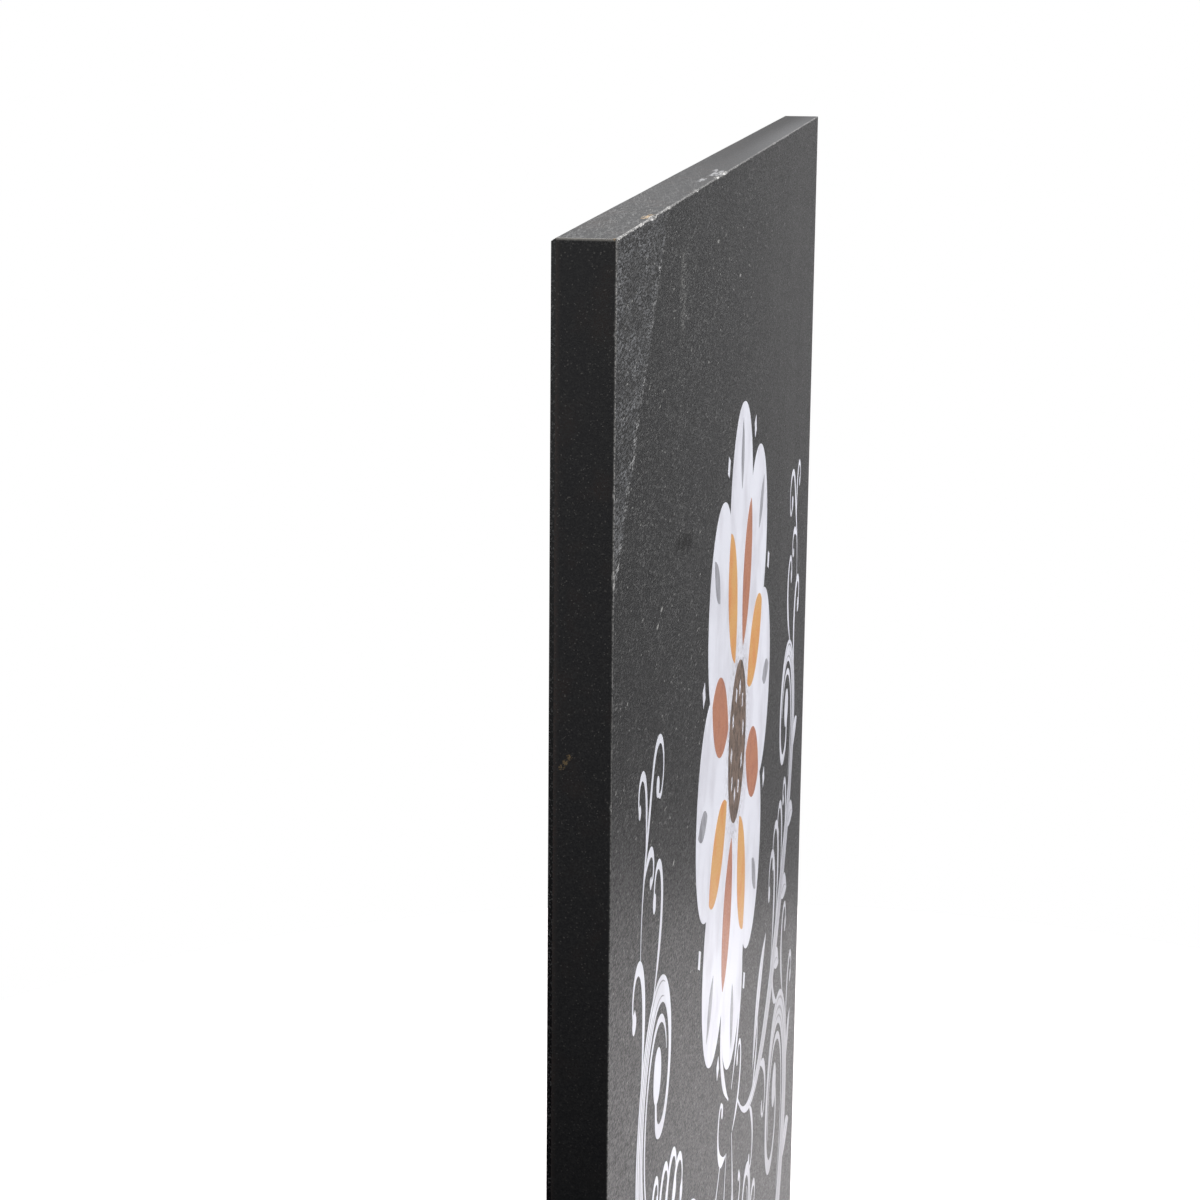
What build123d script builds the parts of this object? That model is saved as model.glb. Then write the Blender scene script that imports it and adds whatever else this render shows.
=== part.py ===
"""Granite slab for leatherwork: a thin square tile of black granite, standing on its lower edge, with a
decorative print in cured ink on its front face.

Frame: millimetres, +Z up. X runs along the slab's width, the printed face looks along -Y and the back face
along +Y. The origin is under the middle of the slab, on the surface that it stands on.
"""

import os
from bisect import bisect
from math import atan2, cos, dist, hypot, log, pi, radians, sin

from build123d import *

# --- the stone ---------------------------------------------------------------------------------------
WIDTH = 457.0  # an 18 inch square tile
HEIGHT = 457.0
THICKNESS = 12.0  # nominal half inch
BACK_BEVEL = 1.0  # factory bevel round the polished back face
FRONT_ARRIS = 0.25  # hairline blunting of the sawn edge round the printed face

# --- the ink -----------------------------------------------------------------------------------------
WHITE_FILM = 0.06  # opaque white, laid straight on the stone
COLOUR_FILM = 0.04  # grey, amber, orange and brown, laid on the white

# --- the rosette, near the top of the slab -----------------------------------------------------------
ROSETTE_TOP_GAP = 63.0  # bare stone between the slab's top edge and the rosette
PETAL_COUNT = 8
PETAL_RADIUS = 28.0  # of the round white petals
PETAL_RING = 64.0  # distance of their centres from the rosette's centre
ROSETTE_RADIUS = PETAL_RING + PETAL_RADIUS
ROSETTE_HEIGHT = HEIGHT - ROSETTE_TOP_GAP - ROSETTE_RADIUS  # of its centre, above the lower edge
SEED_HEAD_RADIUS = 22.0
SEED_COUNT = 10
SEED_RING = 14.5
SEED_RADIUS = 2.6  # to the corners of each lozenge
TONGUE_START = 26.0  # the coloured petals, measured from the rosette's centre
TONGUE_END = 67.0
TONGUE_WIDTH = 20.0
MARK_START = 69.0  # the grey mark on each white petal
MARK_END = 88.0
MARK_WIDTH = 7.0
NOTCH_MARK_RING = 87.0  # white lozenges in the notches between the petals
NOTCH_MARK_RADIUS = 3.2

# --- the scrollwork, for the right half; the left half is its mirror image ---------------------------
# Each scroll is a stem that leaves its root in a given heading and then winds anticlockwise into an eye.
# Lengths are in millimetres from the middle of the lower edge, and angles in degrees.
LOW_SCROLL = dict(root=(4, 56), heading=-14, eye=(140, 136), radius=56, eye_radius=9, turns=1.35, entry=-62)
SIDE_SCROLL = dict(root=(22, 190), heading=-38, eye=(152, 266), radius=39, eye_radius=6.5, turns=1.25, entry=-52)
INNER_SCROLL = dict(root=(7, 186), heading=-72, eye=(50, 144), radius=25, eye_radius=5.5, turns=1.1, entry=-150)
TENDRIL = dict(root=(186, 305), heading=84, eye=(160, 338), radius=12, eye_radius=3.0, turns=0.9, entry=15)
# (width at the root, greatest width, width at the eye): each stroke swells and thins like a pen's.
LOW_WIDTHS = (1.0, 17.0, 3.5)
SIDE_WIDTHS = (1.0, 13.0, 3.0)
INNER_WIDTHS = (0.8, 9.0, 2.5)
TENDRIL_WIDTHS = (0.6, 2.6, 1.1)
SWELL_AT = 0.42  # share of a stroke's length at which it is widest
BALL = 2.1  # radius of the ball in a scroll's eye, over the stroke's width there
# Lobes spring from the outer side of a stroke: where (share of its length) and how long.
LOW_LOBES = ((0.17, 20), (0.25, 25), (0.33, 28), (0.41, 27), (0.49, 24), (0.57, 19))
SIDE_LOBES = ((0.36, 18), (0.44, 21), (0.52, 20), (0.60, 16))
LOBE_SPLAY = 50.0  # angle between a lobe and its stroke
LOBE_BELLY = 0.2  # half width of a lobe, over its length
LOBE_BOW = 0.12  # sideways bend of a lobe, over its length
LOBE_OVERLAP = 1.5  # how far a lobe's root is buried in its stroke

# --- the palmette at the foot of the print and the loose leaves --------------------------------------
PALMETTE_FOOT = (0, 70)
PALMETTE_GAP = 8.0  # from its foot to the root of each leaf
PALMETTE_LEAVES = ((90, 54, 7.5), (60, 42, 5.5), (30, 38, 4.5))  # (heading, length, half width)
LOOSE_LEAVES = (((66, 181), (102, 212), 5.0, 5.0),)  # (root, tip, half width, sideways bend)

# --- the rows of lozenges that follow the low stems --------------------------------------------------
ROW_GAP = 9.0  # from the stroke's side to the row
ROW_START, ROW_END = 0.12, 0.40  # shares of the low scroll's length
ROW_COUNT = 8
ROW_RADII = (1.4, 3.4)  # the first and the last lozenge, from centre to corner

STEM_SPANS = 28
COIL_SPANS_PER_TURN = 36
SPANS_PER_KNOT = 4  # an outline's spline passes through every fourth point of its path


def pen_path(root, heading, eye, radius, eye_radius, turns, entry):
    """Points along a scroll's centre line, each with its unit direction: ((x, z), (dx, dz)).

    The coil is a logarithmic spiral from radius down to eye_radius about the eye. The stem is a cubic
    curve that leaves the root in its heading and meets the coil at the entry angle in the coil's direction.
    """
    growth = log(eye_radius / radius) / (2 * pi * turns)

    def on_coil(share):
        angle = radians(entry) + 2 * pi * turns * share
        r = radius * (eye_radius / radius) ** share
        out = (cos(angle), sin(angle))
        step = (growth * out[0] - out[1], growth * out[1] + out[0])
        size = hypot(*step)
        return (eye[0] + r * out[0], eye[1] + r * out[1]), (step[0] / size, step[1] / size)

    joint, joining = on_coil(0)
    reach = 0.4 * dist(root, joint)
    leaving = (cos(radians(heading)), sin(radians(heading)))
    near_root = (root[0] + reach * leaving[0], root[1] + reach * leaving[1])
    near_joint = (joint[0] - reach * joining[0], joint[1] - reach * joining[1])
    controls = (root, near_root, near_joint, joint)

    def on_stem(share):
        rest = 1 - share
        weights = (rest**3, 3 * rest**2 * share, 3 * rest * share**2, share**3)
        slopes = (rest**2, 2 * rest * share, share**2)
        point = tuple(sum(w * c[i] for w, c in zip(weights, controls)) for i in (0, 1))
        step = tuple(
            sum(s * (b[i] - a[i]) for s, a, b in zip(slopes, controls, controls[1:])) for i in (0, 1)
        )
        size = hypot(*step)
        return point, (step[0] / size, step[1] / size)

    coil_spans = round(COIL_SPANS_PER_TURN * turns)
    stem = [on_stem(i / STEM_SPANS) for i in range(STEM_SPANS)]
    coil = [on_coil(i / coil_spans) for i in range(coil_spans + 1)]
    return stem + coil


def shares_along(path):
    """Each point's distance along the path, over the path's whole length."""
    walked = [0.0]
    for (one, _), (other, _) in zip(path, path[1:]):
        walked.append(walked[-1] + dist(one, other))
    return [w / walked[-1] for w in walked]


def sample(path, share):
    """The place and the direction at a share of the path's length, between its two nearest points."""
    shares = shares_along(path)
    after = min(bisect(shares, share), len(path) - 1)
    mix = (share - shares[after - 1]) / (shares[after] - shares[after - 1])
    return tuple(
        tuple(a + mix * (b - a) for a, b in zip(one, other)) for one, other in zip(path[after - 1], path[after])
    )


def beside(point, distance):
    """The place at a distance to the left of a path's point, or to its right if negative."""
    (x, z), (dx, dz) = point
    return x - dz * distance, z + dx * distance


def stroke_width(share, widths):
    """Width of a stroke: it eases from the root's width up to the greatest, and down to the eye's."""
    root_width, greatest, eye_width = widths
    if share < SWELL_AT:
        rise, thin = share / SWELL_AT, root_width
    else:
        rise, thin = (1 - share) / (1 - SWELL_AT), eye_width
    return thin + (greatest - thin) * rise * rise * (3 - 2 * rise)


def add_stroke(path, widths):
    """Adds a pen stroke to the sketch: a band of changing width along a path, with a ball in its eye."""
    shares = shares_along(path)
    spans = len(path) - 1
    knots = spans // SPANS_PER_KNOT
    chosen = [round(k * spans / knots) for k in range(knots + 1)]
    halves = [stroke_width(shares[i], widths) / 2 for i in chosen]
    left = [beside(path[i], half) for i, half in zip(chosen, halves)]
    right = [beside(path[i], -half) for i, half in zip(chosen, halves)]
    ways = (path[0][1], path[-1][1])
    with BuildLine() as outline:
        Spline(left, tangents=ways)
        Line(left[-1], right[-1])
        Spline(right, tangents=ways)
        Line(left[0], right[0])
    make_face(outline.edges())
    with Locations(path[-1][0]):
        Circle(widths[2] * BALL)


def add_leaf(root, tip, half_width, bow):
    """Adds a pointed leaf: two parabolas from root to tip, whose middle line is bent sideways by bow."""
    along = (tip[0] - root[0], tip[1] - root[1])
    length = hypot(*along)
    across = (-along[1] / length, along[0] / length)
    middle = (root[0] + 0.45 * along[0], root[1] + 0.45 * along[1])
    with BuildLine() as outline:
        for side in (half_width, -half_width):
            out = 2 * (bow + side)  # a parabola reaches half its control's height
            Bezier(root, (middle[0] + out * across[0], middle[1] + out * across[1]), tip)
    make_face(outline.edges())


def add_lobes(path, widths, lobes):
    """Adds the leaf lobes that spring back from the outer side of a stroke."""
    for share, length in lobes:
        point = sample(path, share)
        root = beside(point, LOBE_OVERLAP - stroke_width(share, widths) / 2)
        dx, dz = point[1]
        heading = atan2(dz, dx) - radians(LOBE_SPLAY)
        tip = (root[0] + length * cos(heading), root[1] + length * sin(heading))
        add_leaf(root, tip, LOBE_BELLY * length, LOBE_BOW * length)


def add_tongue(length, width):
    """Adds a plump petal along the sketch's X axis, pointed at both ends."""
    with BuildLine() as outline:
        for side in (1, -1):
            belly = side * width * 2 / 3  # a cubic reaches three quarters of its controls' height
            Bezier((0, 0), (0.25 * length, belly), (0.8 * length, belly), (length, 0))
    make_face(outline.edges())


def rosette_plane(layer):
    """The printed face's plane, moved out by a thickness of ink and centred on the rosette."""
    return Plane((0, -THICKNESS / 2 - layer, ROSETTE_HEIGHT), x_dir=(1, 0, 0), z_dir=(0, -1, 0))


def print_plane(layer):
    """The printed face's plane, moved out by a thickness of ink: X to the right, Z up, from the foot."""
    return Plane.XZ.offset(THICKNESS / 2 + layer)


LOZENGE = 4  # sides
UPRIGHT = 90  # the angle of a petal that points straight up
BETWEEN = UPRIGHT + 180 / PETAL_COUNT  # the angle of a notch between two petals

LOW_PATH = pen_path(**LOW_SCROLL)
SIDE_PATH = pen_path(**SIDE_SCROLL)
INNER_PATH = pen_path(**INNER_SCROLL)
TENDRIL_PATH = pen_path(**TENDRIL)
STROKES = ((LOW_PATH, LOW_WIDTHS), (SIDE_PATH, SIDE_WIDTHS), (INNER_PATH, INNER_WIDTHS))

# --- the stone ---------------------------------------------------------------------------------------
# One sawn square. Only its two large faces are bevelled; the four upright corners are left square.
with BuildPart() as granite_slab:
    with BuildSketch(Plane.XZ.offset(-THICKNESS / 2)):
        with Locations((0, HEIGHT / 2)):
            Rectangle(WIDTH, HEIGHT)
    extrude(amount=THICKNESS)
    back_face = granite_slab.faces().sort_by(Axis.Y)[-1]
    chamfer(back_face.edges(), length=BACK_BEVEL)
    front_face = granite_slab.faces().sort_by(Axis.Y)[0]
    chamfer(front_face.edges(), length=FRONT_ARRIS)

# --- the white pass ----------------------------------------------------------------------------------
# The round petals and the disc that joins them.
with BuildPart() as white_rosette:
    with BuildSketch(rosette_plane(0)):
        Circle(PETAL_RING)
        with PolarLocations(PETAL_RING, PETAL_COUNT, start_angle=UPRIGHT):
            Circle(PETAL_RADIUS)
    extrude(amount=WHITE_FILM)

# The three scrolls of each half, with their lobes.
with BuildPart() as white_scrolls:
    with BuildSketch(print_plane(0)):
        for path, widths in STROKES:
            add_stroke(path, widths)
        add_lobes(LOW_PATH, LOW_WIDTHS, LOW_LOBES)
        add_lobes(SIDE_PATH, SIDE_WIDTHS, SIDE_LOBES)
        mirror(about=Plane.YZ)
    extrude(amount=WHITE_FILM)

# The thin curled tendril above each side scroll.
with BuildPart() as white_tendrils:
    with BuildSketch(print_plane(0)):
        add_stroke(TENDRIL_PATH, TENDRIL_WIDTHS)
        mirror(about=Plane.YZ)
    extrude(amount=WHITE_FILM)

# The fan of leaves at the foot, and the leaves between the rosette and the side scrolls.
with BuildPart() as white_leaves:
    with BuildSketch(print_plane(0)):
        for heading, length, half_width in PALMETTE_LEAVES:
            way = (cos(radians(heading)), sin(radians(heading)))
            root = tuple(f + PALMETTE_GAP * w for f, w in zip(PALMETTE_FOOT, way))
            tip = tuple(r + length * w for r, w in zip(root, way))
            add_leaf(root, tip, half_width, 0)
        for root, tip, half_width, bow in LOOSE_LEAVES:
            add_leaf(root, tip, half_width, bow)
        mirror(about=Plane.YZ)
    extrude(amount=WHITE_FILM)

# Lozenges: one in each notch of the rosette, and a growing row inside each low stem.
with BuildPart() as white_lozenges:
    with BuildSketch(rosette_plane(0)):
        with PolarLocations(NOTCH_MARK_RING, PETAL_COUNT, start_angle=BETWEEN):
            RegularPolygon(NOTCH_MARK_RADIUS, LOZENGE)
    with BuildSketch(print_plane(0)):
        smallest, largest = ROW_RADII
        for n in range(ROW_COUNT):
            grown = n / (ROW_COUNT - 1)
            share = ROW_START + grown * (ROW_END - ROW_START)
            out = stroke_width(share, LOW_WIDTHS) / 2 + ROW_GAP
            with Locations(beside(sample(LOW_PATH, share), out)):
                RegularPolygon(smallest + grown * (largest - smallest), LOZENGE)
        mirror(about=Plane.YZ)
    extrude(amount=WHITE_FILM)

# --- the colour pass, on the white -------------------------------------------------------------------
# A grey mark on the outer half of each white petal.
with BuildSketch() as petal_mark:
    add_leaf((0, 0), (MARK_END - MARK_START, 0), MARK_WIDTH / 2, 0)
with BuildPart() as grey_petal_marks:
    with BuildSketch(rosette_plane(WHITE_FILM)):
        with PolarLocations(MARK_START, PETAL_COUNT, start_angle=UPRIGHT):
            add(petal_mark.sketch)
    extrude(amount=COLOUR_FILM)

# Amber and orange petals take turns round the seed head.
with BuildSketch() as tongue:
    add_tongue(TONGUE_END - TONGUE_START, TONGUE_WIDTH)
with BuildPart() as amber_petals:
    with BuildSketch(rosette_plane(WHITE_FILM)):
        with PolarLocations(TONGUE_START, PETAL_COUNT // 2, start_angle=BETWEEN):
            add(tongue.sketch)
    extrude(amount=COLOUR_FILM)
with BuildPart() as orange_petals:
    with BuildSketch(rosette_plane(WHITE_FILM)):
        with PolarLocations(TONGUE_START, PETAL_COUNT // 2, start_angle=BETWEEN + 360 / PETAL_COUNT):
            add(tongue.sketch)
    extrude(amount=COLOUR_FILM)

# The brown seed head leaves its ring of seeds open, so that the white shows through.
with BuildPart() as brown_seed_head:
    with BuildSketch(rosette_plane(WHITE_FILM)):
        Circle(SEED_HEAD_RADIUS)
        with PolarLocations(SEED_RING, SEED_COUNT):
            RegularPolygon(SEED_RADIUS, LOZENGE, mode=Mode.SUBTRACT)
    extrude(amount=COLOUR_FILM)

# --- every piece is written under its own name -------------------------------------------------------
PIECES = {
    "granite_slab": granite_slab,
    "white_rosette": white_rosette,
    "white_scrolls": white_scrolls,
    "white_tendrils": white_tendrils,
    "white_leaves": white_leaves,
    "white_lozenges": white_lozenges,
    "grey_petal_marks": grey_petal_marks,
    "amber_petals": amber_petals,
    "orange_petals": orange_petals,
    "brown_seed_head": brown_seed_head,
}
os.makedirs("parts", exist_ok=True)
for name, piece in PIECES.items():
    piece.part.label = name
    export_step(piece.part, f"parts/{name}.step")
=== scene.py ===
# %% [markdown]
# # A granite slab for stamping leather
# A leatherworker stamps and tools on a square tile of black granite. It has a honed front with a print in
# cured ink, four sawn edges and a polished back. The pieces come from the frame at their real size, and this
# lesson dresses them: the stone gets a mesh with broken arrises, and every finish gets its own grain.

# %% load the frame
import math

import bpy
import numpy as np
from mathutils import Matrix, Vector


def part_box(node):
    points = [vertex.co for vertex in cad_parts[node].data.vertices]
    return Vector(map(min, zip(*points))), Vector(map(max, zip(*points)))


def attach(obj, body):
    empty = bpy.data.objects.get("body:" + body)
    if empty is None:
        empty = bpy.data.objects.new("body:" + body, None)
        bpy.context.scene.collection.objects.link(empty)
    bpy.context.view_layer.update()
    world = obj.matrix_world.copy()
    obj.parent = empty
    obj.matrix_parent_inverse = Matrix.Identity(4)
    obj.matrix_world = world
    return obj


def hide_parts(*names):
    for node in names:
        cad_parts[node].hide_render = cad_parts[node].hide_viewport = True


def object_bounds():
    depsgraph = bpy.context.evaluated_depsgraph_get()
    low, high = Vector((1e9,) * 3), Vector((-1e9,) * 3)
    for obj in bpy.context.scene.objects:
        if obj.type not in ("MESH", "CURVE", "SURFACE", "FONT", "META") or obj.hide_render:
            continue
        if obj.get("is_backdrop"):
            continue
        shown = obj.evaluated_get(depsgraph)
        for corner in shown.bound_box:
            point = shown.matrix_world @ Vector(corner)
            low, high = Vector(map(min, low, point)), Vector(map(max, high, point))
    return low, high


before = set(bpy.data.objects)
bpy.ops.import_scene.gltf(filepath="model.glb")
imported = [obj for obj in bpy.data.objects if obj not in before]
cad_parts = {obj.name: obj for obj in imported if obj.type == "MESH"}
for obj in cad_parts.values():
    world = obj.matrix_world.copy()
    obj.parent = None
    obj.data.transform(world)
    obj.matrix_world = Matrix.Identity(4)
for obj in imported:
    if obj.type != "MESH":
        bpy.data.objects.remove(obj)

cad_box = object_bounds()
MM = 0.001  # the frame is in metres, and the stone's details are named in millimetres
scene = bpy.context.scene
print("pieces in the frame:", sorted(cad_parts))

# %% [markdown]
# ## Camera
# The slab is seen almost edge on, from close by and from a little above its top edge, so that the near edge
# looks much taller than the far one. Only the real distance gives that narrowing, so the camera stands where
# an eye would. Its three axes come from an azimuth, an elevation and a small roll.


# %% camera
def camera_axes(azimuth, elevation, roll):
    """Right, up and back of a camera. Back is the unit vector at the azimuth (0 looks along +Y) and the
    elevation; right is level and square to it; both right and up are then turned about it by the roll."""
    a, e, r = (math.radians(angle) for angle in (azimuth, elevation, roll))
    back = np.array([math.sin(a) * math.cos(e), -math.cos(a) * math.cos(e), math.sin(e)])
    right = np.cross([0, 0, 1], back)
    right /= np.linalg.norm(right)
    up = np.cross(back, right)
    return right * math.cos(r) + up * math.sin(r), up * math.cos(r) - right * math.sin(r), back


def place_object(data, name, axes, place):
    """Links a camera or a light into the scene, with its axes as the columns of its matrix."""
    made = bpy.data.objects.new(name, data)
    scene.collection.objects.link(made)
    rows = np.eye(4)
    rows[:3, :3] = np.array(axes).T
    rows[:3, 3] = place
    made.matrix_world = Matrix(rows.tolist())
    return made


AZIMUTH, ELEVATION, ROLL = -81.266, 12.731, 0.525  # degrees
EYE = (-0.7128, -0.0779, 0.5022)
camera_data = bpy.data.cameras.new("camera")
camera_data.lens = 82.78
camera_data.sensor_width = 36.0
camera_data.clip_start = 0.01
scene.camera = place_object(camera_data, "camera", camera_axes(AZIMUTH, ELEVATION, ROLL), EYE)

# %% [markdown]
# ## Nodes
# The surround and every finish below are made of shader nodes. Drawn by hand they would be slow to change, so
# the script joins them. Three small helpers keep that short: the first adds a node, and sets or links its
# inputs; the second is a smooth step between two values; the third blends two colours.


# %% node helpers
def put(tree, kind, inputs=None, **settings):
    """Adds a node. An input's value is set on it, or linked to it if it is another node's output."""
    made = tree.nodes.new(kind)
    for name, value in settings.items():
        setattr(made, name, value)
    for name, value in (inputs or {}).items():
        if isinstance(value, bpy.types.NodeSocket):
            tree.links.new(value, made.inputs[name])
        else:
            made.inputs[name].default_value = value
    return made


def ease(tree, value, low, high, to_low=0.0, to_high=1.0):
    """A smooth step: to_low where the value is below low, to_high above high, and an S-curve between."""
    ends = {"Value": value, "From Min": low, "From Max": high, "To Min": to_low, "To Max": to_high}
    return put(tree, "ShaderNodeMapRange", ends, interpolation_type="SMOOTHSTEP").outputs["Result"]


def blend(tree, amount, first, second):
    """A colour that goes from the first to the second as the amount goes from 0 to 1."""
    made = put(tree, "ShaderNodeMix", {0: amount}, data_type="RGBA")
    for socket, value in ((6, first), (7, second)):
        if isinstance(value, bpy.types.NodeSocket):
            tree.links.new(value, made.inputs[socket])
        else:
            made.inputs[socket].default_value = (*value, 1.0)
    return made.outputs[2]


print("node helpers:", ", ".join(helper.__name__ for helper in (put, ease, blend)))

# %% [markdown]
# ## Light
# Black stone shows little but what it reflects. A white surround is what the eye sees behind the slab, but it
# sheds a dimmer light, or the stone would look grey: none from below, and more from the room behind the
# camera than from beyond the slab. The Standard view transform keeps white white.

# %% surround
WHITE = (1, 1, 1, 1)
BELOW, ABOVE = 0.0, 1.0  # share of the light under the horizon and over it
BEHIND, BEYOND = 0.70, 0.30  # strength behind the camera and beyond the slab
scene.view_settings.view_transform = "Standard"
scene.view_settings.look = "None"
world = bpy.data.worlds.new("surround")
world.use_nodes = True
scene.world = world
sky = world.node_tree
sky.nodes.clear()
way = put(sky, "ShaderNodeTexCoord").outputs["Generated"]
axes = put(sky, "ShaderNodeSeparateXYZ", {"Vector": way}).outputs
upward = ease(sky, axes["Z"], -0.42, 0.0, BELOW, ABOVE)
forward = ease(sky, axes["X"], -0.7, 0.5, BEHIND, BEYOND)
strength = put(sky, "ShaderNodeMath", {0: upward, 1: forward}, operation="MULTIPLY").outputs[0]
shed = put(sky, "ShaderNodeBackground", {"Color": WHITE, "Strength": strength}).outputs[0]
seen = put(sky, "ShaderNodeBackground", {"Color": WHITE, "Strength": 1.0}).outputs[0]
by_the_eye = put(sky, "ShaderNodeLightPath").outputs["Is Camera Ray"]
choice = put(sky, "ShaderNodeMixShader", {0: by_the_eye, 1: shed, 2: seen}).outputs[0]
put(sky, "ShaderNodeOutputWorld", {"Surface": choice})
print("surround sheds", BEYOND, "beyond the slab and", BEHIND, "behind the camera")

# %% [markdown]
# Two soft boxes do the rest. One hangs over the table, and one faces the print. Small lamps would put hard
# glints on the honed stone, and large ones spread over it as a window's light does.


# %% lamps
def soft_box(name, place, target, size, power):
    """A square soft light that faces a target: its back is the unit vector from the target to its place."""
    data = bpy.data.lights.new(name, "AREA")
    data.size = size
    data.energy = power
    back = np.subtract(place, target)
    back = back / np.linalg.norm(back)
    right = np.cross([0, 1, 0], back)
    right /= np.linalg.norm(right)
    print(name, "gives", power, "W")
    return place_object(data, name, (right, np.cross(back, right), back), place)


soft_box("over_the_table", place=(0.45, -0.1, 1.5), target=(0.44, -0.1, 0.0), size=1.2, power=28.0)
soft_box("before_the_print", place=(0.3, -1.5, 0.7), target=(0.0, 0.0, 0.25), size=1.0, power=14.6)

# %% [markdown]
# ## Making a piece
# Every new piece is a grid of points worked out with numpy: each row is a line along the piece, and quads
# join neighbouring points. One helper makes the quads and another puts points and faces into Blender.


# %% grid and mesh helpers
def grid_faces(rows, columns, wrap=False):
    """Quads between neighbouring points of a grid. With wrap, the last column meets the first."""
    row = np.arange(rows - 1)[:, None] * columns
    column = np.arange(columns if wrap else columns - 1)[None, :]
    after = (column + 1) % columns
    quads = (row + column, row + columns + column, row + columns + after, row + after)
    return np.stack(quads, axis=-1).reshape(-1, 4)


def make_piece(name, points, groups):
    """Makes an object at the origin from points and groups of faces. A group is (faces, its material)."""
    mesh = bpy.data.meshes.new(name)
    faces = [face for group, _ in groups for face in group.tolist()]
    mesh.from_pydata(np.reshape(points, (-1, 3)).tolist(), [], faces)
    materials = list(dict.fromkeys(material for _, material in groups))
    for material in materials:
        mesh.materials.append(material)
    index = np.concatenate([np.full(len(group), materials.index(material)) for group, material in groups])
    mesh.polygons.foreach_set("material_index", index.astype(np.int32))
    mesh.update()
    piece = bpy.data.objects.new(name, mesh)
    scene.collection.objects.link(piece)
    print(name, "has", len(mesh.vertices), "points and", len(faces), "faces")
    return piece


print("a grid of 3 by 4 points has", len(grid_faces(3, 4)), "quads")

# %% [markdown]
# Each finish is one Principled shader. A number that is the same all over is set on the shader itself, and
# only what varies over the surface is linked to nodes, so that other programs can read the finish too.


# %% material helper
def new_material(name, **numbers):
    """A material with one Principled shader. The numbers are the same all over, so they are set on it."""
    material = bpy.data.materials.new(name)
    material.use_nodes = True
    tree = material.node_tree
    tree.nodes.clear()
    shader = put(tree, "ShaderNodeBsdfPrincipled")
    put(tree, "ShaderNodeOutputMaterial", {"Surface": shader.outputs[0]})
    for socket, value in numbers.items():
        shader.inputs[socket.replace("_", " ")].default_value = value
    print("new finish:", name, numbers)
    return material, tree, shader


# %% [markdown]
# ## Table top
# The slab stands near the edge of a round white board. The stone's foot mirrors the board and its upper part
# mirrors what lies beyond, so the board's size decides where the front starts to lighten. A turned profile
# is enough for a round board: it needs only its radii and heights.

# %% table top
BOARD_RADIUS = 0.505
BOARD_MIDDLE = 0.245  # along X, so that the board ends just before the slab's near edge
BOARD_THICKNESS = 0.02
BOARD_RIM = 0.004  # bevel round its top
BOARD_POINTS = 256
BOARD_WHITES = (0.85, 0.81, 0.82), (0.89, 0.86, 0.865)


def turned(profile, steps):
    """A profile of (radius, height) turned about an upright axis. Its first and last points are poles."""
    radius, z = np.array(profile[1:-1]).T[:, :, None]
    angle = np.linspace(0, 2 * np.pi, steps, endpoint=False)
    rings = np.stack([radius * np.cos(angle), radius * np.sin(angle), z + 0 * angle], axis=-1).reshape(-1, 3)
    poles = [(0, 0, profile[0][1]), (0, 0, profile[-1][1])]
    first, last = np.arange(steps), np.arange(steps) + len(rings) - steps
    caps = [
        np.stack([first, np.roll(first, -1), np.full(steps, len(rings))], axis=-1),
        np.stack([np.roll(last, -1), last, np.full(steps, len(rings) + 1)], axis=-1),
    ]
    return np.concatenate([rings, poles]), [grid_faces(len(profile) - 2, steps, wrap=True), *caps]


flat_radius = BOARD_RADIUS - BOARD_RIM
profile = [(0, 0), (flat_radius, 0), (BOARD_RADIUS, -BOARD_RIM), (BOARD_RADIUS, -BOARD_THICKNESS)]
points, faces = turned([*profile, (0, -BOARD_THICKNESS)], BOARD_POINTS)
white_paint, tree, shader = new_material("white_paint", Roughness=0.8, Specular_IOR_Level=0.2)
mottle = put(tree, "ShaderNodeTexNoise", {"Scale": 60.0}).outputs[0]
tree.links.new(blend(tree, mottle, *BOARD_WHITES), shader.inputs["Base Color"])
make_piece("floor", points + [BOARD_MIDDLE, 0, 0], [(group, white_paint) for group in faces])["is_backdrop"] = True

# %% [markdown]
# ## The stone's shape
# A saw leaves the tile's rim sharp, and granite breaks in tiny flakes along such an arris. The whole slab is
# one surface of two parameters: one walks round its square outline, and the other leads from the front face
# over the broken arris, across the sawn edge and over the factory bevel to the back face. The walk takes
# shorter steps along the two sides that show their arris.

# %% outline
low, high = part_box("granite_slab")
HALF = (high.x - low.x) / 2 / MM
THICK = (high.y - low.y) / MM
FRONT = low.y / MM  # the printed face's y
TOP = 2 * HALF
STEPS = (1280, 1280, 320, 320)  # along the left side, the top, the right side and the foot
corners = np.array([(-1, -1), (-1, 1), (1, 1), (1, -1), (-1, -1)], float)
sides = zip(corners, corners[1:], STEPS)
walk = np.concatenate([a + (b - a) * np.linspace(0, 1, n, endpoint=False)[:, None] for a, b, n in sides])
rim_x, rim_z = walk[:, 0] * HALF, (walk[:, 1] + 1) * HALF
stride = np.hypot(np.diff(rim_x, append=rim_x[0]), np.diff(rim_z, append=rim_z[0]))
along = np.cumsum(stride) - stride
on_top = (walk[:, 1] == 1) & (walk[:, 0] < 1)
print("outline:", len(walk), "points round", round(float(stride.sum())), "mm")

# %% [markdown]
# A bevel modifier would give the arris one even width all round. Real flakes differ, so the width comes from
# smooth random hills of several lengths, which are the same in each run because their dice are seeded.

# %% random hills
HILL_CORNERS = 256  # the unit grid of random heights repeats after this many steps


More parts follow.
